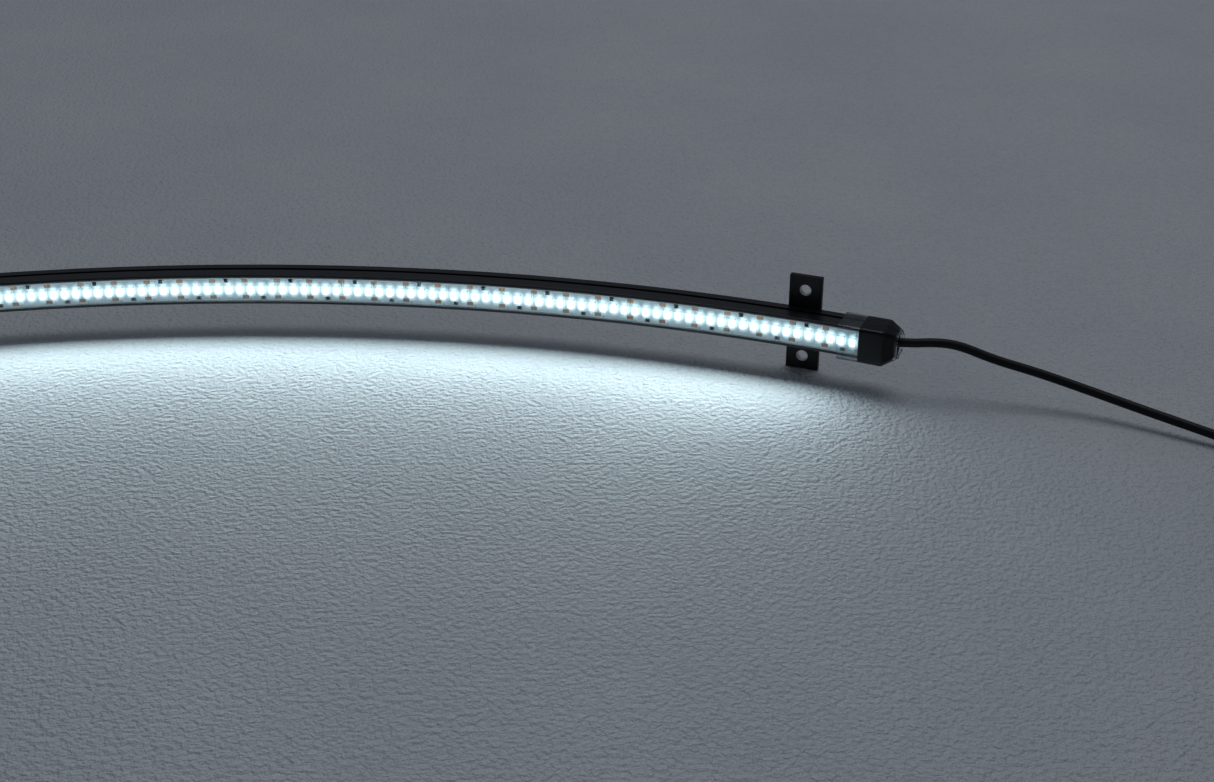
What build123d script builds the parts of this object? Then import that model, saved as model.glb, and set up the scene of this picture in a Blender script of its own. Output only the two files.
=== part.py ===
from build123d import *
from math import cos, degrees, radians, sin, sqrt, tan
import os

# A curved LED light bar for a truck bed or trailer: a bent aluminium channel holds a
# white LED strip under a clear domed lens, and two holders slide along its back.
# Millimetres. The bar is worked out around the centre of its bend, with its mid at +Y,
# and is then moved so that the origin lies on the ground under the middle of the bar.

# ---------------------------------------------------------------- driving dimensions
BEND_RADIUS = 589.5          # centre of the bend to the strip board's front face
SEGMENTS = 38                # cuttable lengths of strip
SEGMENT = 12.5               # one cuttable length
LEDS_PER_SEGMENT = 3

# LED strip
BOARD_WIDTH = 10.0
BOARD_THICKNESS = 0.3
TAPE_INSET = 0.2             # board edge to tape edge
TAPE_THICKNESS = 0.2
LED_LENGTH = 2.8             # along the strip
LED_WIDTH = 3.5              # across the strip
LED_HEIGHT = 0.8
GEL_LENGTH = 2.1
GEL_WIDTH = 2.7
GEL_DEPTH = 0.12
RESISTOR_LENGTH = 2.0
RESISTOR_WIDTH = 1.25
RESISTOR_HEIGHT = 0.5
RESISTOR_FROM_EDGE = 1.7     # board edge to each resistor's middle
UPPER_RESISTOR_AT = 5.3      # from a segment's start, in odd segments
LOWER_RESISTOR_AT = 6.9      # from a segment's start, in even segments
PAD_LENGTH = 2.4
PAD_WIDTH = 1.4
PAD_HEIGHT = 0.05
PAD_FROM_EDGE = 1.85         # board edge to each pad's middle

# aluminium channel
CHANNEL_WALL = 1.0
POCKET_SIDE_GAP = 0.1        # board edge to pocket wall
LIP_STANDOFF = 0.5           # the lips stand this far in front of the LED faces
WEB = 1.6                    # between the front pocket and the rear slot
SLOT_DEPTH = 5.0
SLOT_WALL = 1.5
SLOT_LIP = 2.0
SLOT_MOUTH = 5.2
GROOVE_WIDTH = 1.6
GROOVE_DEPTH = 0.7
GROOVE_FROM_BACK = 4.2
FRONT_EDGE_RADIUS = 0.5
REAR_EDGE_RADIUS = 0.3
END_OVERRUN = 0.5            # channel and lens run past the strip at each end

# clear lens
DOME_RISE = 1.2
LENS_AIR = 0.05              # over the LED faces
LENS_LEG = 0.45              # rails that stand on the board's edges

# end plugs and clear shrink boots
PLUG_LENGTH = 12.5
PLUG_CORNER = 1.0
BOOT_OVERLAP = 7.8           # length of boot over the channel
BOOT_LENGTH = 21.3
BOOT_GAP = 0.3
BOOT_WALL = 0.6
BOOT_CORNER = 1.5
TAPER_LENGTH = 4.5
TAPER_IN_HEIGHT = 1.3        # how far the funnel draws in, above and below
TAPER_IN_DEPTH = 1.6         # and at front and back
MOUTH_SETBACK = 0.6          # the mouth's middle lies this far behind the section's middle

# cable where it enters the bar
CABLE_DIAMETER = 3.4
CABLE_FIT = 0.05             # radial clearance in the plug
CABLE_SETBACK = 4.7          # behind the board's front face
CABLE_RISE = 0.4             # above the bar's centre line
STUB_LENGTH = 7.5
WIRING_POCKET = 6.0
WIRING_WALL = 1.2
CORE_DIAMETER = 1.1
CORE_SPLAY = 0.8
JOINT_LENGTH = 1.6
JOINT_WIDTH = 1.6
JOINT_HEIGHT = 0.7

# sliding holders
HOLDER_WIDTH = 12.4
HOLDER_THICKNESS = 2.3
HOLDER_DROP = 0.8            # the plate's middle lies below the channel's middle
HOLDER_AT = 214.2            # along the bend, from the bar's middle
HOLDER_FIT = 0.25            # sliding clearance to the channel, all round
HOLE_SPACING = 27.0
HOLE_DIAMETER = 4.2
EAR_END = 5.5                # hole's middle to the ear's end
PLATE_CHAMFER = 0.2

# coil of put-away cable, and the bare ends
COIL_CENTRE = (384.0, -58.8)
COIL_MIDDLE = 18.0           # radius at the middle of the turns
COIL_TURNS_ACROSS = 3.5      # three turns side by side and the shift of a spiral
COIL_LAYER_RISE = 0.93       # of a diameter, from one layer to the next
COIL_CORNER = 1.5
TIE_THICKNESS = 0.55
TIE_WIDTH = 5.0
TIE_GAP = 0.05
TIE_AT = 65.0                # degrees round the coil from +X
LEAD_DIAMETER = 1.3
LEAD_SPREAD = 0.75           # sleeve axis to each lead
SLEEVE_LENGTH = 7.0
SLEEVE_WALL = 0.35
TIP_LENGTH = 5.0
TIP_DIAMETER = 0.8

# the free cable's route on its way to the coil, in the part's own frame
CABLE_ROUTE = [
    (250.6, -27.9, 20.9),
    (258.0, -28.7, 21.7),
    (266.8, -29.0, 20.7),
    (279.5, -32.8, 16.6),
    (293.5, -36.1, 13.6),
    (311.5, -42.0, 9.3),
    (330.0, -52.4, 6.4),
    (347.5, -63.6, 4.6),
    (363.0, -73.4, 2.7),
    (373.4, -79.2, 2.3),
]
TAIL_ROUTE = [
    (376.0, -80.2, 5.6),
    (388.2, -83.5, 4.2),
    (400.0, -80.2, 3.0),
    (408.2, -71.8, 2.3),
    (411.8, -61.0, 2.05),
    (410.6, -49.4, 2.05),
]
RED_ROUTE = [(407.9, -34.0, 1.3), (403.8, -26.2, 0.65), (398.0, -19.8, 0.65)]
BLACK_ROUTE = [(410.4, -33.5, 1.3), (408.6, -25.0, 0.65), (405.2, -16.9, 0.65)]

# ---------------------------------------------------------------- worked-out places
HALF_STRIP = SEGMENTS * SEGMENT / 2
HALF_CHANNEL = HALF_STRIP + END_OVERRUN
LED_PITCH = SEGMENT / LEDS_PER_SEGMENT
TAPE_WIDTH = BOARD_WIDTH - 2 * TAPE_INSET
RESISTOR_OFFSET = BOARD_WIDTH / 2 - RESISTOR_FROM_EDGE
PAD_OFFSET = BOARD_WIDTH / 2 - PAD_FROM_EDGE
LED_FACE = BEND_RADIUS - LED_HEIGHT
LIP_RADIUS = LED_FACE - LIP_STANDOFF
DOME_RADIUS = LIP_RADIUS - DOME_RISE
POCKET_FLOOR = BEND_RADIUS + BOARD_THICKNESS + TAPE_THICKNESS
POCKET_HALF = BOARD_WIDTH / 2 + POCKET_SIDE_GAP
SLOT_FRONT = POCKET_FLOOR + WEB
SLOT_BACK = SLOT_FRONT + SLOT_DEPTH
BACK_RADIUS = SLOT_BACK + SLOT_LIP
HALF_HEIGHT = POCKET_HALF + CHANNEL_WALL
CHANNEL_HEIGHT = 2 * HALF_HEIGHT
SLOT_HEIGHT = CHANNEL_HEIGHT - 2 * SLOT_WALL
HOLDER_HEIGHT = HOLE_SPACING + 2 * EAR_END
ROW_HEIGHT = HOLDER_HEIGHT / 2 + HOLDER_DROP
BOOT_START = HALF_CHANNEL - BOOT_OVERLAP
BOOT_END = BOOT_START + BOOT_LENGTH
TAPER_START = BOOT_END - TAPER_LENGTH
PLUG_END = HALF_CHANNEL + PLUG_LENGTH
SECTION_MIDDLE = (DOME_RADIUS + BACK_RADIUS) / 2
SECTION_DEPTH = BACK_RADIUS - DOME_RADIUS
MOUTH_HEIGHT = CHANNEL_HEIGHT - 2 * TAPER_IN_HEIGHT
MOUTH_DEPTH = SECTION_DEPTH - 2 * TAPER_IN_DEPTH
COIL_HALF_WIDTH = COIL_TURNS_ACROSS * CABLE_DIAMETER / 2
COIL_OUTER = COIL_MIDDLE + COIL_HALF_WIDTH
COIL_INNER = COIL_MIDDLE - COIL_HALF_WIDTH
COIL_HEIGHT = (1 + COIL_LAYER_RISE) * CABLE_DIAMETER
CABLE_RADIUS_AT = BEND_RADIUS + CABLE_SETBACK


def bend_angle(arc):
    """Angle round the bend, in degrees, of a length measured along the strip."""
    return degrees(arc / BEND_RADIUS)


BOOT_FRONT = DOME_RADIUS - BOOT_GAP - BOOT_WALL
ARC_CENTRE_Y = -(BACK_RADIUS + BOOT_FRONT * cos(radians(bend_angle(TAPER_START)))) / 2
IN_FRAME = Pos(0, ARC_CENTRE_Y, ROW_HEIGHT)


# ---------------------------------------------------------------- helpers
def section_plane(arc):
    """Cross-section plane: its x is the radius, its y the height, its normal runs on along the bar."""
    a = radians(bend_angle(arc))
    return Plane(origin=(0, 0, 0), x_dir=(sin(a), cos(a), 0), z_dir=(cos(a), -sin(a), 0))


def ring(front, back, low, high):
    """Rectangle of a cross-section between two radii and two heights."""
    return Pos((front + back) / 2, (low + high) / 2) * Rectangle(back - front, high - low)


def swept(section, start, end):
    """A cross-section carried along the bend from one arc length to another."""
    placed = section_plane(end) * section
    return revolve(placed, Axis.Z, bend_angle(end) - bend_angle(start))


def at_arc(arc):
    """Turns what stands at the bar's middle round to a place along the bend."""
    return Rot(0, 0, -bend_angle(arc))


def block(arc, front, back, height_at, height, length):
    """A small flat-faced block that sits across the strip."""
    middle = (front + back) / 2
    return at_arc(arc) * Pos(0, middle, height_at) * Box(length, back - front, height)


def chord_radius(radius, length):
    """Where the flat back of a block meets a hollow cylinder at its two edges."""
    return sqrt(radius**2 - (length / 2) ** 2)


def on_bend(arc, radius, height):
    a = radians(bend_angle(arc))
    return Vector(radius * sin(a), radius * cos(a), height)


def corner_radii(points):
    """Arc at each inner point of a route, as large as its two runs allow."""
    radii = []
    for before, here, after in zip(points, points[1:], points[2:]):
        run_in = Vector(here) - Vector(before)
        run_out = Vector(after) - Vector(here)
        half_turn = radians(run_in.get_angle(run_out)) / 2
        radii.append(0.45 * min(run_in.length, run_out.length) / tan(half_turn))
    return radii


def tube(points, diameter, name):
    """Round solid along straight runs joined by tangent arcs."""
    radii = corner_radii(points)
    path = FilletPolyline(*points, radius=radii)
    profile = Plane(origin=path @ 0, z_dir=path % 0) * Circle(diameter / 2)
    solid = sweep(profile, path=path)
    expected = 3.141593 * diameter**2 / 4 * path.length
    print(f"{name}: length {path.length:.1f}, radii {[round(r, 1) for r in radii]}, "
          f"volume ratio {solid.volume / expected:.4f}")
    return solid


parts = {}

# ---------------------------------------------------------------- aluminium channel
channel_section = ring(LIP_RADIUS, BACK_RADIUS, -HALF_HEIGHT, HALF_HEIGHT)
channel_section = fillet(channel_section.vertices().group_by(Axis.X)[0], FRONT_EDGE_RADIUS)
channel_section = fillet(channel_section.vertices().group_by(Axis.X)[-1], REAR_EDGE_RADIUS)
channel_section -= ring(LIP_RADIUS - 1, POCKET_FLOOR, -POCKET_HALF, POCKET_HALF)
channel_section -= ring(SLOT_FRONT, SLOT_BACK, -SLOT_HEIGHT / 2, SLOT_HEIGHT / 2)
channel_section -= ring(SLOT_FRONT, BACK_RADIUS + 1, -SLOT_MOUTH / 2, SLOT_MOUTH / 2)
groove_middle = BACK_RADIUS - GROOVE_FROM_BACK
for side in (-1, 1):
    groove = Pos(groove_middle, side * HALF_HEIGHT) * Rectangle(GROOVE_WIDTH, 2 * GROOVE_DEPTH)
    channel_section -= groove
parts["channel"] = swept(channel_section, -HALF_CHANNEL, HALF_CHANNEL)

# ---------------------------------------------------------------- clear domed lens
lens_back = LED_FACE - LENS_AIR
dome = Line((LIP_RADIUS, -POCKET_HALF), (BEND_RADIUS, -POCKET_HALF))
dome += Line((BEND_RADIUS, -POCKET_HALF), (BEND_RADIUS, POCKET_HALF))
dome += Line((BEND_RADIUS, POCKET_HALF), (LIP_RADIUS, POCKET_HALF))
dome += ThreePointArc((LIP_RADIUS, POCKET_HALF), (DOME_RADIUS, 0), (LIP_RADIUS, -POCKET_HALF))
lens_section = make_face(dome)
cavity_half = POCKET_HALF - LENS_LEG
lens_section -= ring(lens_back, BEND_RADIUS + 1, -cavity_half, cavity_half)
parts["lens"] = swept(lens_section, -HALF_CHANNEL, HALF_CHANNEL)

# ---------------------------------------------------------------- LED strip
board_back = BEND_RADIUS + BOARD_THICKNESS
parts["strip_board"] = swept(
    ring(BEND_RADIUS, board_back, -BOARD_WIDTH / 2, BOARD_WIDTH / 2), -HALF_STRIP, HALF_STRIP
)
parts["adhesive_tape"] = swept(
    ring(board_back, POCKET_FLOOR, -TAPE_WIDTH / 2, TAPE_WIDTH / 2), -HALF_STRIP, HALF_STRIP
)

packages = []
gels = []
led_back = chord_radius(BEND_RADIUS, LED_LENGTH)
led_front = led_back - LED_HEIGHT
for count in range(SEGMENTS * LEDS_PER_SEGMENT):
    arc = (count + 0.5) * LED_PITCH - HALF_STRIP
    package = block(arc, led_front, led_back, 0, LED_WIDTH, LED_LENGTH)
    gel = block(arc, led_front, led_front + GEL_DEPTH, 0, GEL_WIDTH, GEL_LENGTH)
    packages.append(package - gel)
    gels.append(gel)
parts["led_packages"] = Compound(children=packages)
parts["led_phosphors"] = Compound(children=gels)

resistors = []
resistor_back = chord_radius(BEND_RADIUS, RESISTOR_LENGTH)
for segment in range(SEGMENTS):
    start = segment * SEGMENT - HALF_STRIP
    upper = segment % 2 == 0
    arc = start + (UPPER_RESISTOR_AT if upper else LOWER_RESISTOR_AT)
    side = 1 if upper else -1
    resistors.append(
        block(arc, resistor_back - RESISTOR_HEIGHT, resistor_back, side * RESISTOR_OFFSET,
              RESISTOR_WIDTH, RESISTOR_LENGTH)
    )
parts["resistors"] = Compound(children=resistors)

pads = []
pad_back = chord_radius(BEND_RADIUS, PAD_LENGTH)
for line in range(1, SEGMENTS):
    for side in (-1, 1):
        pads.append(
            block(line * SEGMENT - HALF_STRIP, pad_back - PAD_HEIGHT, pad_back,
                  side * PAD_OFFSET, PAD_WIDTH, PAD_LENGTH)
        )
parts["copper_pads"] = Compound(children=pads)

# ---------------------------------------------------------------- cable exit
exit_point = on_bend(PLUG_END, CABLE_RADIUS_AT, CABLE_RISE)
exit_plane = Plane(origin=exit_point, z_dir=section_plane(PLUG_END).z_dir)


def cable_rod(diameter, length):
    """Round bar that ends at the plug's outer face and runs back into it."""
    return extrude(exit_plane * Circle(diameter / 2), -length)


# ---------------------------------------------------------------- end plugs
plug_section = Pos(SECTION_MIDDLE, 0) * RectangleRounded(SECTION_DEPTH, CHANNEL_HEIGHT, PLUG_CORNER)
boot_bore = Pos(SECTION_MIDDLE, 0) * RectangleRounded(
    SECTION_DEPTH + 2 * BOOT_GAP, CHANNEL_HEIGHT + 2 * BOOT_GAP, PLUG_CORNER
)
boot_outside = Pos(SECTION_MIDDLE, 0) * RectangleRounded(
    SECTION_DEPTH + 2 * (BOOT_GAP + BOOT_WALL), CHANNEL_HEIGHT + 2 * (BOOT_GAP + BOOT_WALL),
    BOOT_CORNER,
)


def mouth(shrink):
    """Section of the boot's mouth, made smaller all round by a given amount."""
    return Pos(SECTION_MIDDLE + MOUTH_SETBACK, 0) * RectangleRounded(
        MOUTH_DEPTH - 2 * shrink, MOUTH_HEIGHT - 2 * shrink, BOOT_CORNER
    )


def taper(large, small, end):
    """Straight-sided funnel from the full section to a smaller one further along."""
    start_face = (section_plane(TAPER_START) * large).faces()[0]
    end_face = (section_plane(end) * small).faces()[0]
    return loft([start_face, end_face], ruled=True)


def both_ends(right):
    """A piece at the right-hand end and its twin at the left-hand end."""
    return right, mirror(right, Plane.YZ)


plug_blank = swept(plug_section, HALF_CHANNEL, TAPER_START)
plug_blank += taper(plug_section, mouth(BOOT_WALL + BOOT_GAP), PLUG_END)
wiring_pocket = swept(
    ring(DOME_RADIUS + WIRING_WALL, BACK_RADIUS - WIRING_WALL,
         -HALF_HEIGHT + WIRING_WALL, HALF_HEIGHT - WIRING_WALL),
    HALF_CHANNEL, HALF_CHANNEL + WIRING_POCKET,
)
cable_bore = cable_rod(CABLE_DIAMETER + 2 * CABLE_FIT, PLUG_LENGTH - WIRING_POCKET + 1)
parts["end_plug_right"] = plug_blank - wiring_pocket - cable_bore
parts["end_plug_left"] = mirror(plug_blank, Plane.YZ)

# ---------------------------------------------------------------- clear shrink boots
boot = swept(boot_outside - boot_bore, BOOT_START, TAPER_START)
boot += taper(boot_outside, mouth(0), BOOT_END) - taper(boot_bore, mouth(BOOT_WALL), BOOT_END)
parts["boot_right"], parts["boot_left"] = both_ends(boot)

# ---------------------------------------------------------------- wiring inside the right plug
parts["cable_entry"] = cable_rod(CABLE_DIAMETER, STUB_LENGTH)
tangent = exit_plane.z_dir
stub_end = exit_point - tangent * STUB_LENGTH
joint_back = chord_radius(BEND_RADIUS, JOINT_LENGTH)
core_radius_at = joint_back - CORE_DIAMETER / 2
joints = []
for name, side in (("core_positive", 1), ("core_negative", -1)):
    start = stub_end + Vector(0, 0, side * CORE_SPLAY)
    leave = start - tangent * 1.3 + Vector(0, 0, side * 0.3)
    arrive = on_bend(HALF_CHANNEL + 1.3, core_radius_at, side * PAD_OFFSET)
    finish = on_bend(HALF_CHANNEL, core_radius_at, side * PAD_OFFSET)
    parts[name] = tube([start, leave, arrive, finish], CORE_DIAMETER, name)
    joints.append(
        block(HALF_CHANNEL - JOINT_LENGTH / 2, joint_back - JOINT_HEIGHT, joint_back,
              side * PAD_OFFSET, JOINT_WIDTH, JOINT_LENGTH)
    )
parts["solder_joints"] = Compound(children=joints)

# ---------------------------------------------------------------- sliding holders
plate_front = BACK_RADIUS + HOLDER_FIT
plate_back = plate_front + HOLDER_THICKNESS
plate = Pos(0, (plate_front + plate_back) / 2, -HOLDER_DROP) * Box(
    HOLDER_WIDTH, HOLDER_THICKNESS, HOLDER_HEIGHT
)
plate = chamfer(plate.edges(), PLATE_CHAMFER)
for side in (-1, 1):
    hole_at = side * HOLE_SPACING / 2 - HOLDER_DROP
    plate -= Pos(0, plate_front, hole_at) * Rot(90, 0, 0) * Cylinder(
        HOLE_DIAMETER / 2, 4 * HOLDER_THICKNESS
    )
neck_front = SLOT_BACK - HOLDER_FIT
neck = Pos(0, (neck_front + plate_front) / 2, 0) * Box(
    HOLDER_WIDTH, plate_front - neck_front + 0.5, SLOT_MOUTH - 2 * HOLDER_FIT
)
head_front = SLOT_FRONT + HOLDER_FIT + 0.3
head = Pos(0, (head_front + neck_front) / 2, 0) * Box(
    HOLDER_WIDTH, neck_front - head_front, SLOT_HEIGHT - 2 * HOLDER_FIT
)
holder = plate + neck + head
parts["bracket_right"] = at_arc(HOLDER_AT) * holder
parts["bracket_left"] = at_arc(-HOLDER_AT) * holder

for name in parts:
    parts[name] = IN_FRAME * parts[name]

# ---------------------------------------------------------------- free cable
exit_in_frame = exit_point + Vector(0, ARC_CENTRE_Y, ROW_HEIGHT)
parts["cable"] = tube([exit_in_frame] + CABLE_ROUTE, CABLE_DIAMETER, "cable")
coil_low = TIE_THICKNESS + TIE_GAP
coil_section = Plane.XZ * Pos(COIL_MIDDLE, coil_low + COIL_HEIGHT / 2) * RectangleRounded(
    COIL_OUTER - COIL_INNER, COIL_HEIGHT, COIL_CORNER
)
at_coil = Pos(COIL_CENTRE[0], COIL_CENTRE[1], 0)
parts["cable_coil"] = at_coil * revolve(coil_section, Axis.Z, 360)
parts["cable_tail"] = tube(TAIL_ROUTE, CABLE_DIAMETER, "cable_tail")

# ---------------------------------------------------------------- tie round the coil
sag = COIL_INNER - sqrt(COIL_INNER**2 - (TIE_WIDTH / 2) ** 2)
tie_hole_length = COIL_OUTER - COIL_INNER + sag + 2 * TIE_GAP
tie_hole_height = COIL_HEIGHT + 2 * TIE_GAP
tie_at = Pos(COIL_MIDDLE - sag / 2, 0, TIE_THICKNESS + tie_hole_height / 2)
tie = tie_at * Box(tie_hole_length + 2 * TIE_THICKNESS, TIE_WIDTH, tie_hole_height + 2 * TIE_THICKNESS)
tie -= tie_at * Box(tie_hole_length, TIE_WIDTH + 1, tie_hole_height)
parts["cable_tie"] = at_coil * Rot(0, 0, TIE_AT) * tie

# ---------------------------------------------------------------- bare far end
tail_end = Vector(*TAIL_ROUTE[-1])
tail_run = (tail_end - Vector(*TAIL_ROUTE[-2])).normalized()
sleeve_plane = Plane(origin=tail_end, z_dir=tail_run)
parts["split_sleeve"] = extrude(sleeve_plane * Circle(CABLE_DIAMETER / 2 + SLEEVE_WALL), SLEEVE_LENGTH)
across = tail_run.cross(Vector(0, 0, 1)).normalized()
sleeve_end = tail_end + tail_run * SLEEVE_LENGTH
tips = []
for name, side, route in (("lead_positive", -1, RED_ROUTE), ("lead_negative", 1, BLACK_ROUTE)):
    parts[name] = tube([sleeve_end + across * side * LEAD_SPREAD] + route, LEAD_DIAMETER, name)
    end = Vector(*route[-1])
    run = (end - Vector(*route[-2])).normalized()
    tips.append(extrude(Plane(origin=end, z_dir=run) * Circle(TIP_DIAMETER / 2), TIP_LENGTH))
parts["lead_tips"] = Compound(children=tips)

# ---------------------------------------------------------------- one file for each piece
os.makedirs("parts", exist_ok=True)
for name, piece in parts.items():
    export_step(piece, f"parts/{name}.step")
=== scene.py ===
import math
import random
import bmesh
import bpy
from mathutils import Matrix, Vector


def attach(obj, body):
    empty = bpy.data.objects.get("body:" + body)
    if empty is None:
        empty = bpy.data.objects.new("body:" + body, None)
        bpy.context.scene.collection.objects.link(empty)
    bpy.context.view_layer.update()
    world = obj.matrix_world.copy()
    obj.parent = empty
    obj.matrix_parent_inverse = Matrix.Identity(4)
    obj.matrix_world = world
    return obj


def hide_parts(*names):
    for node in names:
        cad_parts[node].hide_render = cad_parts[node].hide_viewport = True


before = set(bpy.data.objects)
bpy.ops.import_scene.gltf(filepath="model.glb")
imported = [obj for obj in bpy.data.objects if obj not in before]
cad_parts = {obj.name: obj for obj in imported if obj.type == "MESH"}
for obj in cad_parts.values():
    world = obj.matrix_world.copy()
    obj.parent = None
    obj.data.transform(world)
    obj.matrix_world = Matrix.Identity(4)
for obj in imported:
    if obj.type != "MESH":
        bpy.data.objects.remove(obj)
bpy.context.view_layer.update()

# ---- Camera ----
# A long lens a little above the bar looks along the floor at the bar's right-hand end,
# so that the cable leaves the view on the right and the bar runs out of it on the left.
CAMERA_PLACE = (0.1372, -0.62907, 0.32345)
CAMERA_DIP = 28.1686
CAMERA_TURN = -0.2153
FOCAL_LENGTH = 55.076

camera_data = bpy.data.cameras.new("camera")
camera_data.sensor_width = 36.0
camera_data.lens = FOCAL_LENGTH
camera_data.clip_start = 0.01
camera_data.clip_end = 20.0
camera = bpy.data.objects.new("camera", camera_data)
camera.location = CAMERA_PLACE
camera.rotation_euler = (math.radians(90 - CAMERA_DIP), 0.0, math.radians(CAMERA_TURN))
bpy.context.scene.collection.objects.link(camera)
bpy.context.scene.camera = camera

# ---- Supply cable ----
# A two-core cable with a satin black PVC jacket 3.4 mm thick, extruded, so it has faint draw
# lines. It leaves the right-hand plug, sags to the floor and is wound up beyond the bar.
CABLE_DIAMETER = 0.0034
EXIT = (0.244967, -0.025645, 0.0202)
CABLE_ROUTE = [
    (0.2506, -0.0279, 0.0209), (0.2580, -0.0287, 0.0217), (0.2668, -0.0290, 0.0207),
    (0.2795, -0.0328, 0.0166), (0.2935, -0.0361, 0.0136), (0.3115, -0.0420, 0.0093),
    (0.3300, -0.0524, 0.0064), (0.3475, -0.0636, 0.0046), (0.3630, -0.0734, 0.0027),
    (0.3734, -0.0792, 0.0023),
]
TAIL_ROUTE = [
    (0.3760, -0.0805, 0.0058), (0.3882, -0.0844, 0.0049), (0.4008, -0.0812, 0.0030),
    (0.4084, -0.0718, 0.0023), (0.4118, -0.0610, 0.00205), (0.4106, -0.0494, 0.00205),
]
COIL_CENTRE = (0.3840, -0.0588)
COIL_OUTER_TURN = 0.0233
COIL_PITCH = 0.00355
COIL_LAYERS = (0.0023, 0.00575)
COIL_TURNS = 6
COIL_START_ANGLE = 242.5
LAYER_STEP_FROM = 2.75
LAYER_STEP_OVER = 0.5
POINTS_PER_TURN = 16


def material(name):
    made = bpy.data.materials.new(name)
    made.use_nodes = True
    tree = made.node_tree
    return made, tree, tree.nodes["Principled BSDF"]


def put(tree, kind, **values):
    node = tree.nodes.new(kind)
    for key, value in values.items():
        setattr(node, key, value)
    return node


def grain(tree, coordinates, scale, detail=3.0, rough=0.55):
    noise = put(tree, "ShaderNodeTexNoise")
    noise.inputs["Scale"].default_value = scale
    noise.inputs["Detail"].default_value = detail
    noise.inputs["Roughness"].default_value = rough
    tree.links.new(coordinates, noise.inputs["Vector"])
    return noise.outputs["Fac"]


def ramp(tree, value, *stops):
    node = put(tree, "ShaderNodeValToRGB")
    band = node.color_ramp
    while len(band.elements) < len(stops):
        band.elements.new(0.5)
    for element, (place, colour) in zip(band.elements, stops):
        element.position = place
        element.color = (*colour, 1.0)
    tree.links.new(value, node.inputs["Fac"])
    return node.outputs["Color"]


def spread(tree, value, low, high):
    node = put(tree, "ShaderNodeMapRange")
    node.inputs["To Min"].default_value = low
    node.inputs["To Max"].default_value = high
    tree.links.new(value, node.inputs["Value"])
    return node.outputs["Result"]


def relief(tree, shader, height, strength, distance):
    node = put(tree, "ShaderNodeBump")
    node.inputs["Strength"].default_value = strength
    node.inputs["Distance"].default_value = distance
    tree.links.new(height, node.inputs["Height"])
    tree.links.new(node.outputs["Normal"], shader.inputs["Normal"])


def piece_coordinates(tree):
    return put(tree, "ShaderNodeTexCoord").outputs["Object"]


jacket, tree, shader = material("cable_jacket_pvc")
where = piece_coordinates(tree)
mottle = grain(tree, where, 900.0)
tree.links.new(ramp(tree, mottle, (0.3, (0.003, 0.003, 0.004)), (0.75, (0.008, 0.008, 0.009))),
               shader.inputs["Base Color"])
shader.inputs["Specular IOR Level"].default_value = 0.2
tree.links.new(spread(tree, grain(tree, where, 350.0), 0.34, 0.52), shader.inputs["Roughness"])
relief(tree, shader, grain(tree, where, 2600.0, 2.0), 0.18, 0.00012)

turns = []
for step in range(1, COIL_TURNS * POINTS_PER_TURN):
    turned = step / POINTS_PER_TURN
    angle = math.radians(COIL_START_ANGLE) + 2 * math.pi * turned
    inward = turned if turned < COIL_TURNS / 2 else COIL_TURNS - turned
    radius = COIL_OUTER_TURN - COIL_PITCH * inward
    lift = min(1.0, max(0.0, (turned - LAYER_STEP_FROM) / LAYER_STEP_OVER))
    height = COIL_LAYERS[0] + (COIL_LAYERS[1] - COIL_LAYERS[0]) * lift * lift * (3 - 2 * lift)
    turns.append((COIL_CENTRE[0] + radius * math.cos(angle),
                  COIL_CENTRE[1] + radius * math.sin(angle), height))


def laid_line(name, points, diameter, finish):
    data = bpy.data.curves.new(name, "CURVE")
    data.dimensions = "3D"
    data.resolution_u = 8
    data.bevel_depth = diameter / 2
    data.bevel_resolution = 5
    data.use_fill_caps = True
    line = data.splines.new("NURBS")
    line.points.add(len(points) - 1)
    for point, place in zip(line.points, points):
        point.co = (*place, 1.0)
    line.order_u = 3
    line.use_endpoint_u = True
    data.materials.append(finish)
    obj = bpy.data.objects.new(name, data)
    bpy.context.scene.collection.objects.link(obj)
    return obj


supply_cable = laid_line("supply_cable", [EXIT] + CABLE_ROUTE + turns + TAIL_ROUTE,
                         CABLE_DIAMETER, jacket)
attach(supply_cable, "root")
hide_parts("cable", "cable_coil", "cable_tail")

# ---- Shrink sleeve where the jacket is stripped ----
# A short black heat-shrink sleeve closes the jacket where the two cores come out of it.
# It has shrunk on to the jacket, so its middle is waisted and its ends are rolled.
SLEEVE_LENGTH = 0.0070
SLEEVE_RADIUS = 0.00205
SLEEVE_SWELL = ((0.0, 0.86), (0.0, 0.97), (0.07, 1.0), (0.2, 0.985), (0.45, 0.95),
                (0.7, 0.93), (0.9, 0.97), (1.0, 0.95), (1.0, 0.25))
sleeve_start = Vector(TAIL_ROUTE[-1])
sleeve_run = (sleeve_start - Vector(TAIL_ROUTE[-2])).normalized()


def piece_from(name, bm, finish, smooth=True):
    bmesh.ops.recalc_face_normals(bm, faces=bm.faces)
    data = bpy.data.meshes.new(name)
    bm.to_mesh(data)
    bm.free()
    for face in data.polygons:
        face.use_smooth = smooth
    data.materials.append(finish)
    obj = bpy.data.objects.new(name, data)
    bpy.context.scene.collection.objects.link(obj)
    return obj


shrink_black, tree, shader = material("black_shrink")
where = piece_coordinates(tree)
tree.links.new(ramp(tree, grain(tree, where, 700.0), (0.3, (0.008, 0.008, 0.008)),
                    (0.8, (0.022, 0.022, 0.023))), shader.inputs["Base Color"])
tree.links.new(spread(tree, grain(tree, where, 1500.0), 0.4, 0.62), shader.inputs["Roughness"])
relief(tree, shader, grain(tree, where, 1800.0), 0.3, 0.0001)

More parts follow.
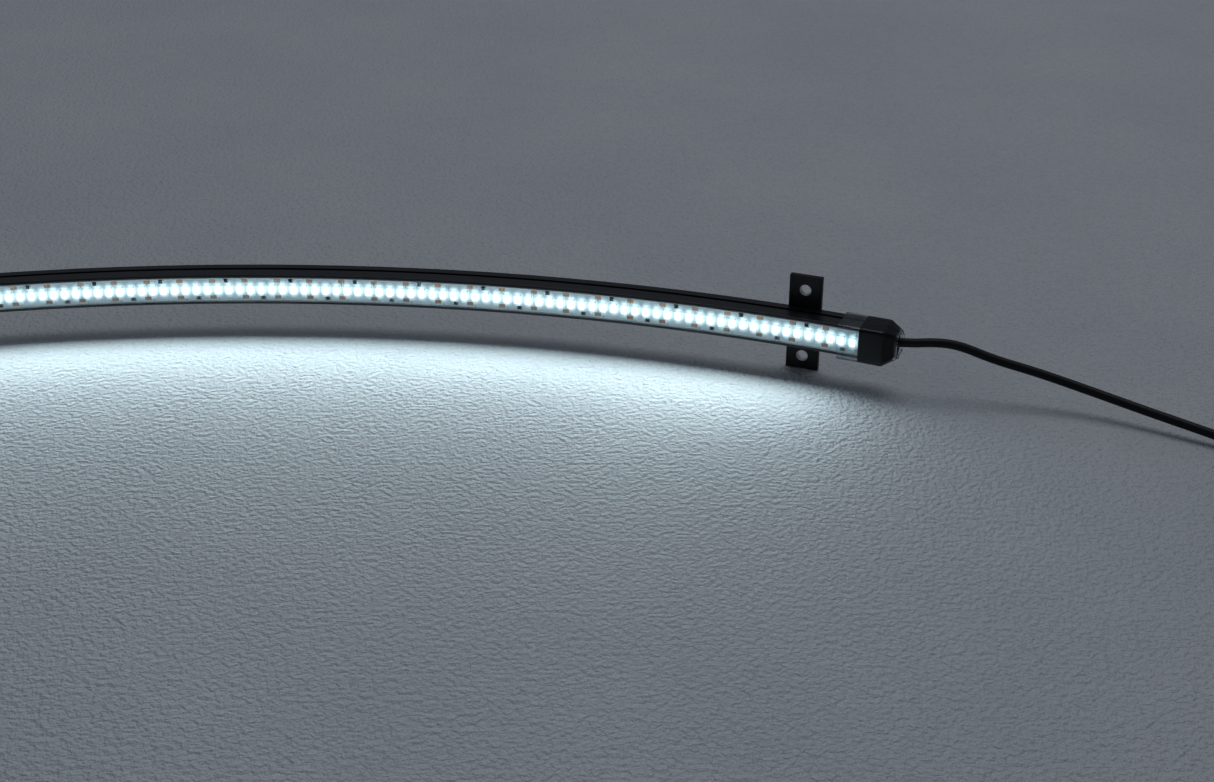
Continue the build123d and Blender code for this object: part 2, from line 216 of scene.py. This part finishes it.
bm = bmesh.new()
outline = []
for share, swell in SLEEVE_SWELL:
    outline.append(bm.verts.new((SLEEVE_RADIUS * swell, 0.0, SLEEVE_LENGTH * share)))
edges = [bm.edges.new(pair) for pair in zip(outline, outline[1:])]
bmesh.ops.spin(bm, geom=outline + edges, cent=(0, 0, 0), axis=(0, 0, 1),
               angle=2 * math.pi, steps=32, use_merge=True)
turn = sleeve_run.to_track_quat("Z", "Y").to_matrix().to_4x4()
bmesh.ops.transform(bm, matrix=Matrix.Translation(sleeve_start) @ turn, verts=bm.verts)
bmesh.ops.holes_fill(bm, edges=[e for e in bm.edges if e.is_boundary], sides=0)
sleeve = piece_from("shrink_sleeve", bm, shrink_black)
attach(sleeve, "root")
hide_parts("split_sleeve")

# ---- Two leads with tinned ends ----
# The red and black cores are stranded copper in thin PVC, cut off at slightly different
# lengths. Each is stripped at its end, and the strands are twisted and tinned with solder.
LEAD_DIAMETER = 0.0013
LEAD_SPREAD = 0.00075
LEAD_OVERLAP = 0.0025
RED_ROUTE = [(0.4079, -0.0340, 0.0013), (0.4038, -0.0262, 0.00065), (0.3980, -0.0198, 0.00065)]
BLACK_ROUTE = [(0.4104, -0.0335, 0.0013), (0.4086, -0.0250, 0.00065),
               (0.4052, -0.0169, 0.00065)]
sleeve_end = sleeve_start + sleeve_run * SLEEVE_LENGTH
across = sleeve_run.cross(Vector((0, 0, 1))).normalized()

tinned, tree, shader = material("tinned_copper_strands")
shader.inputs["Metallic"].default_value = 1.0
where = piece_coordinates(tree)
tree.links.new(ramp(tree, grain(tree, where, 2500.0), (0.3, (0.55, 0.54, 0.52)),
                    (0.8, (0.78, 0.77, 0.75))), shader.inputs["Base Color"])
tree.links.new(spread(tree, grain(tree, where, 3000.0), 0.2, 0.45), shader.inputs["Roughness"])
relief(tree, shader, grain(tree, where, 4000.0), 0.5, 0.0001)
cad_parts["lead_tips"].data.materials[0] = tinned

for name, side, route, low, high, node, slot_name in (
        ("lead_red", -1, RED_ROUTE, (0.30, 0.008, 0.006), (0.48, 0.02, 0.014),
         "lead_positive", "red_insulation"),
        ("lead_black", 1, BLACK_ROUTE, (0.008, 0.008, 0.009), (0.02, 0.02, 0.022),
         "lead_negative", "black_insulation")):
    finish, tree, shader = material(name + "_pvc")
    where = piece_coordinates(tree)
    tree.links.new(ramp(tree, grain(tree, where, 1200.0), (0.3, low), (0.75, high)),
                   shader.inputs["Base Color"])
    tree.links.new(spread(tree, grain(tree, where, 800.0), 0.3, 0.48),
                   shader.inputs["Roughness"])
    start = sleeve_end + across * side * LEAD_SPREAD
    run = (Vector(route[-1]) - Vector(route[-2])).normalized()
    stop = Vector(route[-1]) + run * LEAD_OVERLAP
    lead = laid_line(name, [tuple(start)] + route + [tuple(stop)], LEAD_DIAMETER, finish)
    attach(lead, "root")
    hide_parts(node)

# ---- Tie round the wound-up cable ----
# A narrow strap of black woven hook-and-loop tape holds the coil on one side. It is wrapped
# once round the two layers of turns and pressed on to itself, and it rounds their corners.
TIE_WIDTH = 0.0050
TIE_THICKNESS = 0.00055
TIE_AT = 65.0
TIE_CORNER = 0.0014
TIE_CORNER_STEPS = 5
TIE_INWARD = 0.0003
TIE_SLACK_ACROSS = 0.0006
TIE_SLACK_ABOVE = 0.0001

tie_weave, tree, shader = material("tie_strap_weave")
where = piece_coordinates(tree)
loops = put(tree, "ShaderNodeTexVoronoi")
loops.inputs["Scale"].default_value = 2200.0
tree.links.new(where, loops.inputs["Vector"])
tree.links.new(ramp(tree, loops.outputs["Distance"], (0.0, (0.025, 0.025, 0.027)),
                    (0.7, (0.006, 0.006, 0.007))), shader.inputs["Base Color"])
shader.inputs["Roughness"].default_value = 0.85
shader.inputs["Sheen Weight"].default_value = 0.35
relief(tree, shader, loops.outputs["Distance"], 0.6, 0.0002)

inner_turn = COIL_OUTER_TURN - COIL_TURNS / 2 * COIL_PITCH
strap_middle = (COIL_OUTER_TURN + inner_turn) / 2 - TIE_INWARD
half_across = (COIL_OUTER_TURN - inner_turn) / 2 + CABLE_DIAMETER / 2 + TIE_SLACK_ACROSS
strap_low = TIE_THICKNESS / 2
strap_high = COIL_LAYERS[1] + CABLE_DIAMETER / 2 + TIE_SLACK_ABOVE + TIE_THICKNESS / 2
bm = bmesh.new()
loop = []
for centre_x, centre_z, first in (
        (half_across - TIE_CORNER, strap_high - TIE_CORNER, 0),
        (-half_across + TIE_CORNER, strap_high - TIE_CORNER, 90),
        (-half_across + TIE_CORNER, strap_low + TIE_CORNER, 180),
        (half_across - TIE_CORNER, strap_low + TIE_CORNER, 270)):
    for step in range(TIE_CORNER_STEPS + 1):
        bend = math.radians(first + 90 / TIE_CORNER_STEPS * step)
        loop.append(bm.verts.new((strap_middle + centre_x + TIE_CORNER * math.cos(bend),
                                  -TIE_WIDTH / 2, centre_z + TIE_CORNER * math.sin(bend))))
rim = [bm.edges.new((loop[i], loop[(i + 1) % len(loop)])) for i in range(len(loop))]
pulled = bmesh.ops.extrude_edge_only(bm, edges=rim)["geom"]
bmesh.ops.translate(bm, vec=(0, TIE_WIDTH, 0),
                    verts=[v for v in pulled if isinstance(v, bmesh.types.BMVert)])
stand = Matrix.Translation((COIL_CENTRE[0], COIL_CENTRE[1], 0.0)) @ Matrix.Rotation(
    math.radians(TIE_AT), 4, "Z")
bmesh.ops.transform(bm, matrix=stand, verts=bm.verts)
tie = piece_from("cable_strap", bm, tie_weave)
wall = tie.modifiers.new("tape", "SOLIDIFY")
wall.thickness = TIE_THICKNESS
wall.offset = 0.0
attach(tie, "root")
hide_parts("cable_tie")

# ---- Extruded channel ----
# A low black-anodised aluminium extrusion rolled to a bend of 589.5 mm. The die leaves fine
# lines along it, and a few pale specks are painted on it beside each holder.
BEND_RADIUS = 0.5895
BEND_CENTRE = (0.0, -0.5670)
ROW_HEIGHT = 0.0198
HOLDER_ARC = 0.2142
PALE_SPECK_HALF = 0.0125
PALE_SPECK_ABOVE = 0.69


def bend_coordinates(tree):
    shift = put(tree, "ShaderNodeMapping")
    shift.inputs["Location"].default_value = (-BEND_CENTRE[0], -BEND_CENTRE[1], -ROW_HEIGHT)
    tree.links.new(piece_coordinates(tree), shift.inputs["Vector"])
    parts = put(tree, "ShaderNodeSeparateXYZ")
    tree.links.new(shift.outputs["Vector"], parts.inputs["Vector"])
    angle = put(tree, "ShaderNodeMath", operation="ARCTAN2")
    tree.links.new(parts.outputs["X"], angle.inputs[0])
    tree.links.new(parts.outputs["Y"], angle.inputs[1])
    arc = put(tree, "ShaderNodeMath", operation="MULTIPLY")
    arc.inputs[1].default_value = BEND_RADIUS
    tree.links.new(angle.outputs[0], arc.inputs[0])
    flat = put(tree, "ShaderNodeCombineXYZ")
    tree.links.new(parts.outputs["X"], flat.inputs["X"])
    tree.links.new(parts.outputs["Y"], flat.inputs["Y"])
    reach = put(tree, "ShaderNodeVectorMath", operation="LENGTH")
    tree.links.new(flat.outputs["Vector"], reach.inputs[0])
    return arc.outputs[0], reach.outputs["Value"], parts.outputs["Z"]


def along_bend(tree, arc, reach, height, stretch):
    squeezed = put(tree, "ShaderNodeMath", operation="MULTIPLY")
    squeezed.inputs[1].default_value = stretch
    tree.links.new(arc, squeezed.inputs[0])
    joined = put(tree, "ShaderNodeCombineXYZ")
    tree.links.new(squeezed.outputs[0], joined.inputs["X"])
    tree.links.new(reach, joined.inputs["Y"])
    tree.links.new(height, joined.inputs["Z"])
    return joined.outputs["Vector"]


def calc(tree, operation, first, second):
    node = put(tree, "ShaderNodeMath", operation=operation)
    for socket, value in zip(node.inputs, (first, second)):
        if isinstance(value, (int, float)):
            socket.default_value = value
        else:
            tree.links.new(value, socket)
    return node.outputs[0]


anodised, tree, shader = material("black_anodised_extrusion")
arc, reach, height = bend_coordinates(tree)
die_lines = grain(tree, along_bend(tree, arc, reach, height, 0.01), 5200.0, 2.0)
cloud = grain(tree, piece_coordinates(tree), 60.0)
near_holder = calc(tree, "SUBTRACT", calc(tree, "ABSOLUTE", arc, 0.0), HOLDER_ARC)
near_holder = calc(tree, "LESS_THAN", calc(tree, "ABSOLUTE", near_holder, 0.0), PALE_SPECK_HALF)
specks = grain(tree, piece_coordinates(tree), 1300.0, 4.0, 0.7)
specks = calc(tree, "GREATER_THAN", specks, PALE_SPECK_ABOVE)
# Pale specks, painted in a band beside each holder.
pale_specks = calc(tree, "MULTIPLY", near_holder, specks)
tint = put(tree, "ShaderNodeMix", data_type="RGBA")
tree.links.new(pale_specks, tint.inputs["Factor"])
tree.links.new(ramp(tree, cloud, (0.3, (0.006, 0.007, 0.009)), (0.75, (0.013, 0.015, 0.018))),
               tint.inputs[6])
tint.inputs[7].default_value = (0.55, 0.56, 0.57, 1.0)
tree.links.new(tint.outputs[2], shader.inputs["Base Color"])
shader.inputs["Metallic"].default_value = 0.35
tree.links.new(spread(tree, die_lines, 0.2, 0.4), shader.inputs["Roughness"])
relief(tree, shader, die_lines, 0.22, 0.00005)
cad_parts["channel"].data.materials[0] = anodised

# ---- Clear cover ----
# A water-clear silicone extrusion with a shallow dome stands on the strip's edges, held in by
# the channel's lips. It is soft, so its skin is slightly wavy, and its gloss is uneven.
clear_cast, tree, shader = material("clear_silicone_cover")
shader.inputs["Base Color"].default_value = (0.93, 0.975, 1.0, 1.0)
shader.inputs["Transmission Weight"].default_value = 1.0
shader.inputs["IOR"].default_value = 1.41
arc, reach, height = bend_coordinates(tree)
ripple = grain(tree, along_bend(tree, arc, reach, height, 0.25), 160.0, 2.0)
tree.links.new(spread(tree, grain(tree, piece_coordinates(tree), 500.0), 0.03, 0.12),
               shader.inputs["Roughness"])
relief(tree, shader, ripple, 0.25, 0.0002)
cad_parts["lens"].data.materials[0] = clear_cast

# ---- Flexible strip board ----
# A thin flexible circuit with white solder mask over copper. Its tracks show through the mask
# as faint raised bands. The light of its own lamps on it is painted on as a glow, brightest
# beside them.
SEGMENT = 0.0125
SEGMENTS = 38
STRIP_HALF = SEGMENTS * SEGMENT / 2
LAMP_PITCH = SEGMENT / 3
LAMP_TINT = (0.66, 0.92, 1.0, 1.0)
POOL_NARROWING = 0.78
SPECKLE_ABOVE = 0.60


# Mask for a painted glow round each lamp, fading with distance from it.
def painted_lamp_glow(tree, arc, height, full, faded):
    pitch_share = calc(tree, "FRACT", calc(tree, "DIVIDE", calc(tree, "ADD", arc, STRIP_HALF),
                                           LAMP_PITCH), 0.0)
    off_lamp = calc(tree, "MULTIPLY", calc(tree, "SUBTRACT", pitch_share, 0.5), LAMP_PITCH)
    off_row = calc(tree, "MULTIPLY", height, POOL_NARROWING)
    pool = calc(tree, "SQRT", calc(tree, "ADD", calc(tree, "MULTIPLY", off_lamp, off_lamp),
                                   calc(tree, "MULTIPLY", off_row, off_row)), 0.0)
    share = put(tree, "ShaderNodeMapRange", interpolation_type="SMOOTHSTEP")
    share.inputs["From Min"].default_value = full
    share.inputs["From Max"].default_value = faded
    tree.links.new(pool, share.inputs["Value"])
    return share.outputs["Result"]


white_mask, tree, shader = material("white_solder_mask")
arc, reach, height = bend_coordinates(tree)
share = painted_lamp_glow(tree, arc, height, 0.0010, 0.0029)
speckle = grain(tree, along_bend(tree, arc, reach, height, 1.0), 1500.0, 3.0, 0.7)
speckle = calc(tree, "GREATER_THAN", speckle, SPECKLE_ABOVE)
tree.links.new(ramp(tree, grain(tree, along_bend(tree, arc, reach, height, 0.3), 700.0),
                    (0.3, (0.70, 0.74, 0.75)), (0.8, (0.84, 0.87, 0.88))),
               shader.inputs["Base Color"])
shader.inputs["Roughness"].default_value = 0.38
shader.inputs["Emission Color"].default_value = LAMP_TINT
# Painted glow: the mask's emission stands for its own lamps' light on it, dimmed in small specks.
painted_glow = spread(tree, share, 0.95, 0.13)
dimmed = calc(tree, "SUBTRACT", 1.0, calc(tree, "MULTIPLY", speckle, 0.45))
tree.links.new(calc(tree, "MULTIPLY", painted_glow, dimmed), shader.inputs["Emission Strength"])
tracks = grain(tree, along_bend(tree, arc, reach, height, 0.06), 620.0, 1.0)
relief(tree, shader, tracks, 0.4, 0.00006)
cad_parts["strip_board"].data.materials[0] = white_mask

# ---- Adhesive tape ----
# Grey-white double-sided foam tape bonds the strip to the channel's floor. It is slightly
# narrower than the strip, and its edges show its open cells.
foam, tree, shader = material("foam_tape")
where = piece_coordinates(tree)
cells = put(tree, "ShaderNodeTexVoronoi")
cells.inputs["Scale"].default_value = 5000.0
tree.links.new(where, cells.inputs["Vector"])
tree.links.new(ramp(tree, cells.outputs["Distance"], (0.0, (0.42, 0.43, 0.43)),
                    (0.8, (0.6, 0.61, 0.61))), shader.inputs["Base Color"])
shader.inputs["Roughness"].default_value = 0.8
relief(tree, shader, cells.outputs["Distance"], 0.4, 0.00008)
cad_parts["adhesive_tape"].data.materials[0] = foam

# ---- Lamp housings and gel ----
# Each lamp is a white moulded package with a well of yellow-tinged phosphor gel over its die.
# Lit, the gel is far brighter than the housing, whose glow where the light scatters in it is
# painted on.
housing, tree, shader = material("lamp_housing")
tree.links.new(ramp(tree, grain(tree, piece_coordinates(tree), 2500.0),
                    (0.3, (0.80, 0.84, 0.86)), (0.8, (0.9, 0.93, 0.95))),
               shader.inputs["Base Color"])
shader.inputs["Roughness"].default_value = 0.42
shader.inputs["Emission Color"].default_value = LAMP_TINT
arc, reach, height = bend_coordinates(tree)
# Painted glow: the housing's emission stands for light scattered in it, strongest round the gel.
tree.links.new(spread(tree, painted_lamp_glow(tree, arc, height, 0.0009, 0.0021), 1.5, 0.22),
               shader.inputs["Emission Strength"])
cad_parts["led_packages"].data.materials[0] = housing

gel, tree, shader = material("phosphor_gel")
tree.links.new(ramp(tree, grain(tree, piece_coordinates(tree), 3500.0),
                    (0.3, (0.86, 0.80, 0.42)), (0.8, (0.95, 0.90, 0.55))),
               shader.inputs["Base Color"])
shader.inputs["Roughness"].default_value = 0.15
shader.inputs["Emission Color"].default_value = (0.86, 0.97, 1.0, 1.0)
shader.inputs["Emission Strength"].default_value = 3.2
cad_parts["led_phosphors"].data.materials[0] = gel

# ---- Resistors and their solder ----
# One chip resistor for each group of three lamps, on alternate sides of the row and lying
# along the strip: a glassy black body with a bright soldered cap round each end.
RESISTOR_OFFSET = 0.0033
RESISTOR_LENGTH = 0.0020
UPPER_RESISTOR_AT = 0.0053
LOWER_RESISTOR_AT = 0.0069
CAP_SIZE = (0.00042, 0.00056, 0.00135)
CAP_INSET = 0.00012
CAP_RISE = 0.00029
CAP_EDGE = 0.00008
BOARD_FACE = BEND_RADIUS


def on_strip(arc_place):
    centre = Matrix.Translation((BEND_CENTRE[0], BEND_CENTRE[1], ROW_HEIGHT))
    return centre @ Matrix.Rotation(-arc_place / BEND_RADIUS, 4, "Z")


chip, tree, shader = material("resistor_glaze")
tree.links.new(ramp(tree, grain(tree, piece_coordinates(tree), 2000.0),
                    (0.3, (0.008, 0.014, 0.013)), (0.8, (0.022, 0.036, 0.032))),
               shader.inputs["Base Color"])
shader.inputs["Roughness"].default_value = 0.2
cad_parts["resistors"].data.materials[0] = chip

solder, tree, shader = material("bright_solder")
shader.inputs["Metallic"].default_value = 1.0
where = piece_coordinates(tree)
tree.links.new(ramp(tree, grain(tree, where, 1800.0), (0.3, (0.62, 0.63, 0.64)),
                    (0.8, (0.85, 0.86, 0.87))), shader.inputs["Base Color"])
tree.links.new(spread(tree, grain(tree, where, 3000.0), 0.12, 0.32), shader.inputs["Roughness"])
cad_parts["solder_joints"].data.materials[0] = solder

bm = bmesh.new()
for index in range(SEGMENTS):
    upper = index % 2 == 0
    place = index * SEGMENT - STRIP_HALF + (UPPER_RESISTOR_AT if upper else LOWER_RESISTOR_AT)
    side = 1 if upper else -1
    for end in (-1, 1):
        made = bmesh.ops.create_cube(bm, size=1.0)["verts"]
        bmesh.ops.scale(bm, vec=CAP_SIZE, verts=made)
        bmesh.ops.translate(bm, verts=made, vec=(
            end * (RESISTOR_LENGTH / 2 - CAP_INSET), BOARD_FACE - CAP_RISE,
            side * RESISTOR_OFFSET))
        bmesh.ops.transform(bm, matrix=on_strip(place), verts=made)
rims = list(bm.edges)
bmesh.ops.bevel(bm, geom=rims, offset=CAP_EDGE, affect="EDGES", segments=1, profile=0.5,
                material=-1)
caps = piece_from("resistor_caps", bm, solder, smooth=False)
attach(caps, "root")

# ---- Copper pads, cut marks and through-plated holes ----
# A pair of bare copper pads lies across every line where the strip may be cut, with two
# printed marks between them on that line and a small plated hole beside each pad.
MARK_SIZE = (0.00014, 0.00003, 0.0009)
MARK_OFFSET = 0.0021
MARK_RISE = 0.00001
PLATED_RADIUS = 0.00028
PLATED_RIM_RADIUS = 0.00022
PLATED_DEPTH = 0.00005
PLATED_RISE = 0.00003
PLATED_ALONG = 0.0021
PLATED_ACROSS = 0.0040

bare_copper, tree, shader = material("bare_copper_pads")
shader.inputs["Metallic"].default_value = 0.85
where = piece_coordinates(tree)
tree.links.new(ramp(tree, grain(tree, where, 1500.0), (0.3, (0.50, 0.27, 0.17)),
                    (0.8, (0.72, 0.44, 0.30))), shader.inputs["Base Color"])
tree.links.new(spread(tree, grain(tree, where, 2600.0), 0.25, 0.5), shader.inputs["Roughness"])
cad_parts["copper_pads"].data.materials[0] = bare_copper

mark_ink, tree, shader = material("printed_cut_mark")
tree.links.new(ramp(tree, grain(tree, piece_coordinates(tree), 5000.0),
                    (0.3, (0.10, 0.10, 0.10)), (0.8, (0.2, 0.2, 0.2))),
               shader.inputs["Base Color"])
shader.inputs["Roughness"].default_value = 0.6

bm = bmesh.new()
for line in range(1, SEGMENTS):
    for side in (-1, 1):
        made = bmesh.ops.create_cube(bm, size=1.0)["verts"]
        bmesh.ops.scale(bm, vec=MARK_SIZE, verts=made)
        bmesh.ops.translate(bm, vec=(0, BOARD_FACE - MARK_RISE, side * MARK_OFFSET), verts=made)
        bmesh.ops.transform(bm, matrix=on_strip(line * SEGMENT - STRIP_HALF), verts=made)
marks = piece_from("cut_marks", bm, mark_ink, smooth=False)
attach(marks, "root")

bm = bmesh.new()
for line in range(1, SEGMENTS):
    for offset, side in ((-PLATED_ALONG, 1), (PLATED_ALONG, -1)):
        made = bmesh.ops.create_cone(bm, cap_ends=True, segments=10, radius1=PLATED_RADIUS,
                                     radius2=PLATED_RIM_RADIUS, depth=PLATED_DEPTH)["verts"]
        bmesh.ops.rotate(bm, cent=(0, 0, 0), matrix=Matrix.Rotation(math.pi / 2, 3, "X"),
                         verts=made)
        bmesh.ops.translate(bm, vec=(0, BOARD_FACE - PLATED_RISE, side * PLATED_ACROSS),
                            verts=made)
        bmesh.ops.transform(bm, verts=made,
                            matrix=on_strip(line * SEGMENT - STRIP_HALF + offset))
vias = piece_from("plated_holes", bm, solder, smooth=False)
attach(vias, "root")

# ---- End plugs ----
# Black potting resin fills the channel's ends, cast against the cover, and grips the cable.
# It is glossy where it lay against the mould, with a few pits.
potting, tree, shader = material("black_potting_resin")
where = piece_coordinates(tree)
tree.links.new(ramp(tree, grain(tree, where, 400.0), (0.3, (0.003, 0.003, 0.004)),
                    (0.8, (0.008, 0.008, 0.009))), shader.inputs["Base Color"])
tree.links.new(spread(tree, grain(tree, where, 900.0), 0.22, 0.45), shader.inputs["Roughness"])
shader.inputs["Specular IOR Level"].default_value = 0.06
relief(tree, shader, grain(tree, where, 1300.0), 0.35, 0.00015)
for node in ("end_plug_left", "end_plug_right"):
    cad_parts[node].data.materials[0] = potting

# ---- Cable end and cores inside the plug ----
# The jacket's last few millimetres lie in the resin, and its two cores fan out
# to the solder joints at the end of the strip.
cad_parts["cable_entry"].data.materials[0] = jacket
for node, finish in (("core_positive", "lead_red_pvc"), ("core_negative", "lead_black_pvc")):
    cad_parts[node].data.materials[0] = bpy.data.materials[finish]

# ---- Clear shrink boots ----
# A clear heat-shrink boot is shrunk over each end. It is coloured dark where it lies over the
# plug. Heat has wrinkled it and drawn its mouth in, and left the mouth a thin, clear, frilled
# edge.
DARK_FILM_FROM = 0.2382
DARK_FILM_TO = 0.2508
BOOT_END = 0.2515
MOUTH_MIDDLE = 0.5934
MOUTH_HALF_DEPTH = 0.0039
MOUTH_HALF_HEIGHT = 0.0045
FRILL_STEPS = (0.0002, 0.0004)
FRILL_SWING = 0.07
FRILL_SKIN = 0.00035

clear_shrink, tree, shader = material("clear_shrink_boot")
arc, reach, height = bend_coordinates(tree)
from_middle = calc(tree, "ABSOLUTE", arc, 0.0)
# The film is coloured dark where it lies over the plug, and stays clear beyond it.
over_plug = calc(tree, "MULTIPLY", calc(tree, "GREATER_THAN", from_middle, DARK_FILM_FROM),
                 calc(tree, "LESS_THAN", from_middle, DARK_FILM_TO))
tree.links.new(ramp(tree, over_plug, (0.0, (0.84, 0.88, 0.90)), (1.0, (0.10, 0.105, 0.11))),
               shader.inputs["Base Color"])
shader.inputs["Transmission Weight"].default_value = 1.0
shader.inputs["IOR"].default_value = 1.33
shader.inputs["Specular IOR Level"].default_value = 0.2
where = piece_coordinates(tree)
tree.links.new(spread(tree, grain(tree, where, 420.0), 0.02, 0.14), shader.inputs["Roughness"])
relief(tree, shader, grain(tree, where, 260.0, 3.0), 0.5, 0.0006)
for node in ("boot_left", "boot_right"):
    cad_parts[node].data.materials[0] = clear_shrink

for name, side in (("boot_frill_right", 1), ("boot_frill_left", -1)):
    wander = random.Random(11 + side)
    bm = bmesh.new()
    ring = bmesh.ops.create_circle(bm, cap_ends=False, segments=48, radius=1.0)["verts"]
    for vert in ring:
        turned = math.atan2(vert.co.y, vert.co.x)
        across_part, up_part = math.cos(turned), math.sin(turned)
        vert.co = Vector((
            0.0,
            MOUTH_MIDDLE + MOUTH_HALF_DEPTH * math.copysign(abs(across_part) ** 0.5, across_part),
            MOUTH_HALF_HEIGHT * math.copysign(abs(up_part) ** 0.5, up_part)))
    edge = list(bm.edges)
    for reach_out in FRILL_STEPS:
        grown = bmesh.ops.extrude_edge_only(bm, edges=edge)["geom"]
        rim = [v for v in grown if isinstance(v, bmesh.types.BMVert)]
        edge = [e for e in grown if isinstance(e, bmesh.types.BMEdge)]
        for vert in rim:
            vert.co.x += side * reach_out * wander.uniform(0.3, 1.5)
            vert.co.y += (vert.co.y - MOUTH_MIDDLE) * wander.uniform(-FRILL_SWING, FRILL_SWING)
            vert.co.z *= 1 + wander.uniform(-FRILL_SWING, FRILL_SWING)
    bmesh.ops.transform(bm, matrix=on_strip(side * BOOT_END), verts=bm.verts)
    frill = piece_from(name, bm, clear_shrink)
    skin = frill.modifiers.new("skin", "SOLIDIFY")
    skin.thickness = FRILL_SKIN
    skin.offset = 0.0
    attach(frill, "root")

# ---- Sliding holders ----
# Each holder is a flat black plate with a foot in the channel's rear slot and a 4.2 mm hole in
# each ear. The holes are drilled after coating, so that their walls are bare metal.
HOLE_OFFSET = 0.0135
HOLDER_MIDDLE = 0.0190
HOLE_BARE = 0.00222
for node, side in (("bracket_right", 1), ("bracket_left", -1)):
    coated, tree, shader = material(node + "_coating")
    where = piece_coordinates(tree)
    place = put(tree, "ShaderNodeMapping", vector_type="TEXTURE")
    place.inputs["Location"].default_value = (BEND_CENTRE[0], BEND_CENTRE[1], HOLDER_MIDDLE)
    place.inputs["Rotation"].default_value = (0.0, 0.0, -side * HOLDER_ARC / BEND_RADIUS)
    tree.links.new(where, place.inputs["Vector"])
    own = put(tree, "ShaderNodeSeparateXYZ")
    tree.links.new(place.outputs["Vector"], own.inputs["Vector"])
    from_middle = calc(tree, "ABSOLUTE", own.outputs["Z"], 0.0)
    rise = calc(tree, "SUBTRACT", from_middle, HOLE_OFFSET)
    squares = calc(tree, "ADD", calc(tree, "MULTIPLY", rise, rise),
                   calc(tree, "MULTIPLY", own.outputs["X"], own.outputs["X"]))
    bare = calc(tree, "LESS_THAN", calc(tree, "SQRT", squares, 0.0), HOLE_BARE)
    tint = put(tree, "ShaderNodeMix", data_type="RGBA")
    tree.links.new(bare, tint.inputs["Factor"])
    tree.links.new(ramp(tree, grain(tree, where, 500.0), (0.3, (0.004, 0.004, 0.005)),
                        (0.8, (0.011, 0.011, 0.012))), tint.inputs[6])
    tint.inputs[7].default_value = (0.46, 0.46, 0.45, 1.0)
    tree.links.new(tint.outputs[2], shader.inputs["Base Color"])
    tree.links.new(bare, shader.inputs["Metallic"])
    shader.inputs["Specular IOR Level"].default_value = 0.25
    tree.links.new(spread(tree, grain(tree, where, 1200.0), 0.36, 0.55),
                   shader.inputs["Roughness"])
    relief(tree, shader, grain(tree, where, 2400.0), 0.25, 0.00008)
    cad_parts[node].data.materials[0] = coated

# ---- The lamps' own light ----
# The lit row throws a pale cool light forward over the floor. A run of narrow lights stands
# for it, just in front of the cover and a little above its middle, tipped slightly down.
LIGHT_RADIUS = 0.58670
LIGHT_RISE = 0.0040
LIGHT_TILT = 3.0
LIGHT_COUNT = 12
LIGHT_HALF = 0.2285
LIGHT_BREADTH = 0.004
LIGHT_POWER = 0.0218
LIGHT_COLOUR = (0.81, 0.99, 1.0)

for index in range(LIGHT_COUNT):
    place = ((index + 0.5) / LIGHT_COUNT - 0.5) * 2 * LIGHT_HALF
    data = bpy.data.lights.new("lamp_row_%02d" % index, "AREA")
    data.shape = "RECTANGLE"
    data.size = 2 * LIGHT_HALF / LIGHT_COUNT
    data.size_y = LIGHT_BREADTH
    data.energy = LIGHT_POWER
    data.color = LIGHT_COLOUR
    glow = bpy.data.objects.new(data.name, data)
    glow.matrix_world = (on_strip(place) @ Matrix.Translation((0, LIGHT_RADIUS, LIGHT_RISE))
                         @ Matrix.Rotation(math.radians(LIGHT_TILT - 90), 4, "X"))
    glow.visible_camera = False
    glow.visible_glossy = False
    glow.visible_transmission = False
    bpy.context.scene.collection.objects.link(glow)

# ---- Floor and studio light ----
# A plain pale matt board with a fine orange-peel skin carries the bar. The room is dim: one
# broad soft light hangs above and behind the bar, and the rest is even fill.
FLOOR_SIZE = 3.0
FILL_COLOUR = (0.78, 0.87, 1.0, 1.0)
FILL_STRENGTH = 0.126
WINDOW_PLACE = (0.40, 0.55, 1.9)
WINDOW_AIM = (0.1, 0.0, 0.0)
WINDOW_SIZE = (1.6, 1.1)
WINDOW_POWER = 8.4
WINDOW_COLOUR = (0.97, 0.98, 1.0)

floor_skin, tree, shader = material("floor_skin")
where = piece_coordinates(tree)
tree.links.new(ramp(tree, grain(tree, where, 9.0), (0.3, (0.52, 0.55, 0.60)),
                    (0.75, (0.58, 0.61, 0.65))), shader.inputs["Base Color"])
shader.inputs["Roughness"].default_value = 0.5
shader.inputs["Specular IOR Level"].default_value = 0.35
relief(tree, shader, grain(tree, where, 500.0, 2.0), 1.0, 0.0020)
bm = bmesh.new()
bmesh.ops.create_grid(bm, x_segments=1, y_segments=1, size=FLOOR_SIZE)
floor = piece_from("floor", bm, floor_skin, smooth=False)

bpy.context.scene.view_settings.view_transform = "Standard"
world = bpy.data.worlds.new("room")
world.use_nodes = True
fill = world.node_tree.nodes["Background"]
fill.inputs["Color"].default_value = FILL_COLOUR
fill.inputs["Strength"].default_value = FILL_STRENGTH
bpy.context.scene.world = world

soft = bpy.data.lights.new("window_light", "AREA")
soft.shape = "RECTANGLE"
soft.size, soft.size_y = WINDOW_SIZE
soft.energy = WINDOW_POWER
soft.color = WINDOW_COLOUR
window = bpy.data.objects.new("window_light", soft)
window.location = WINDOW_PLACE
window.rotation_euler = (Vector(WINDOW_AIM) - window.location).to_track_quat(
    "-Z", "Y").to_euler()
bpy.context.scene.collection.objects.link(window)
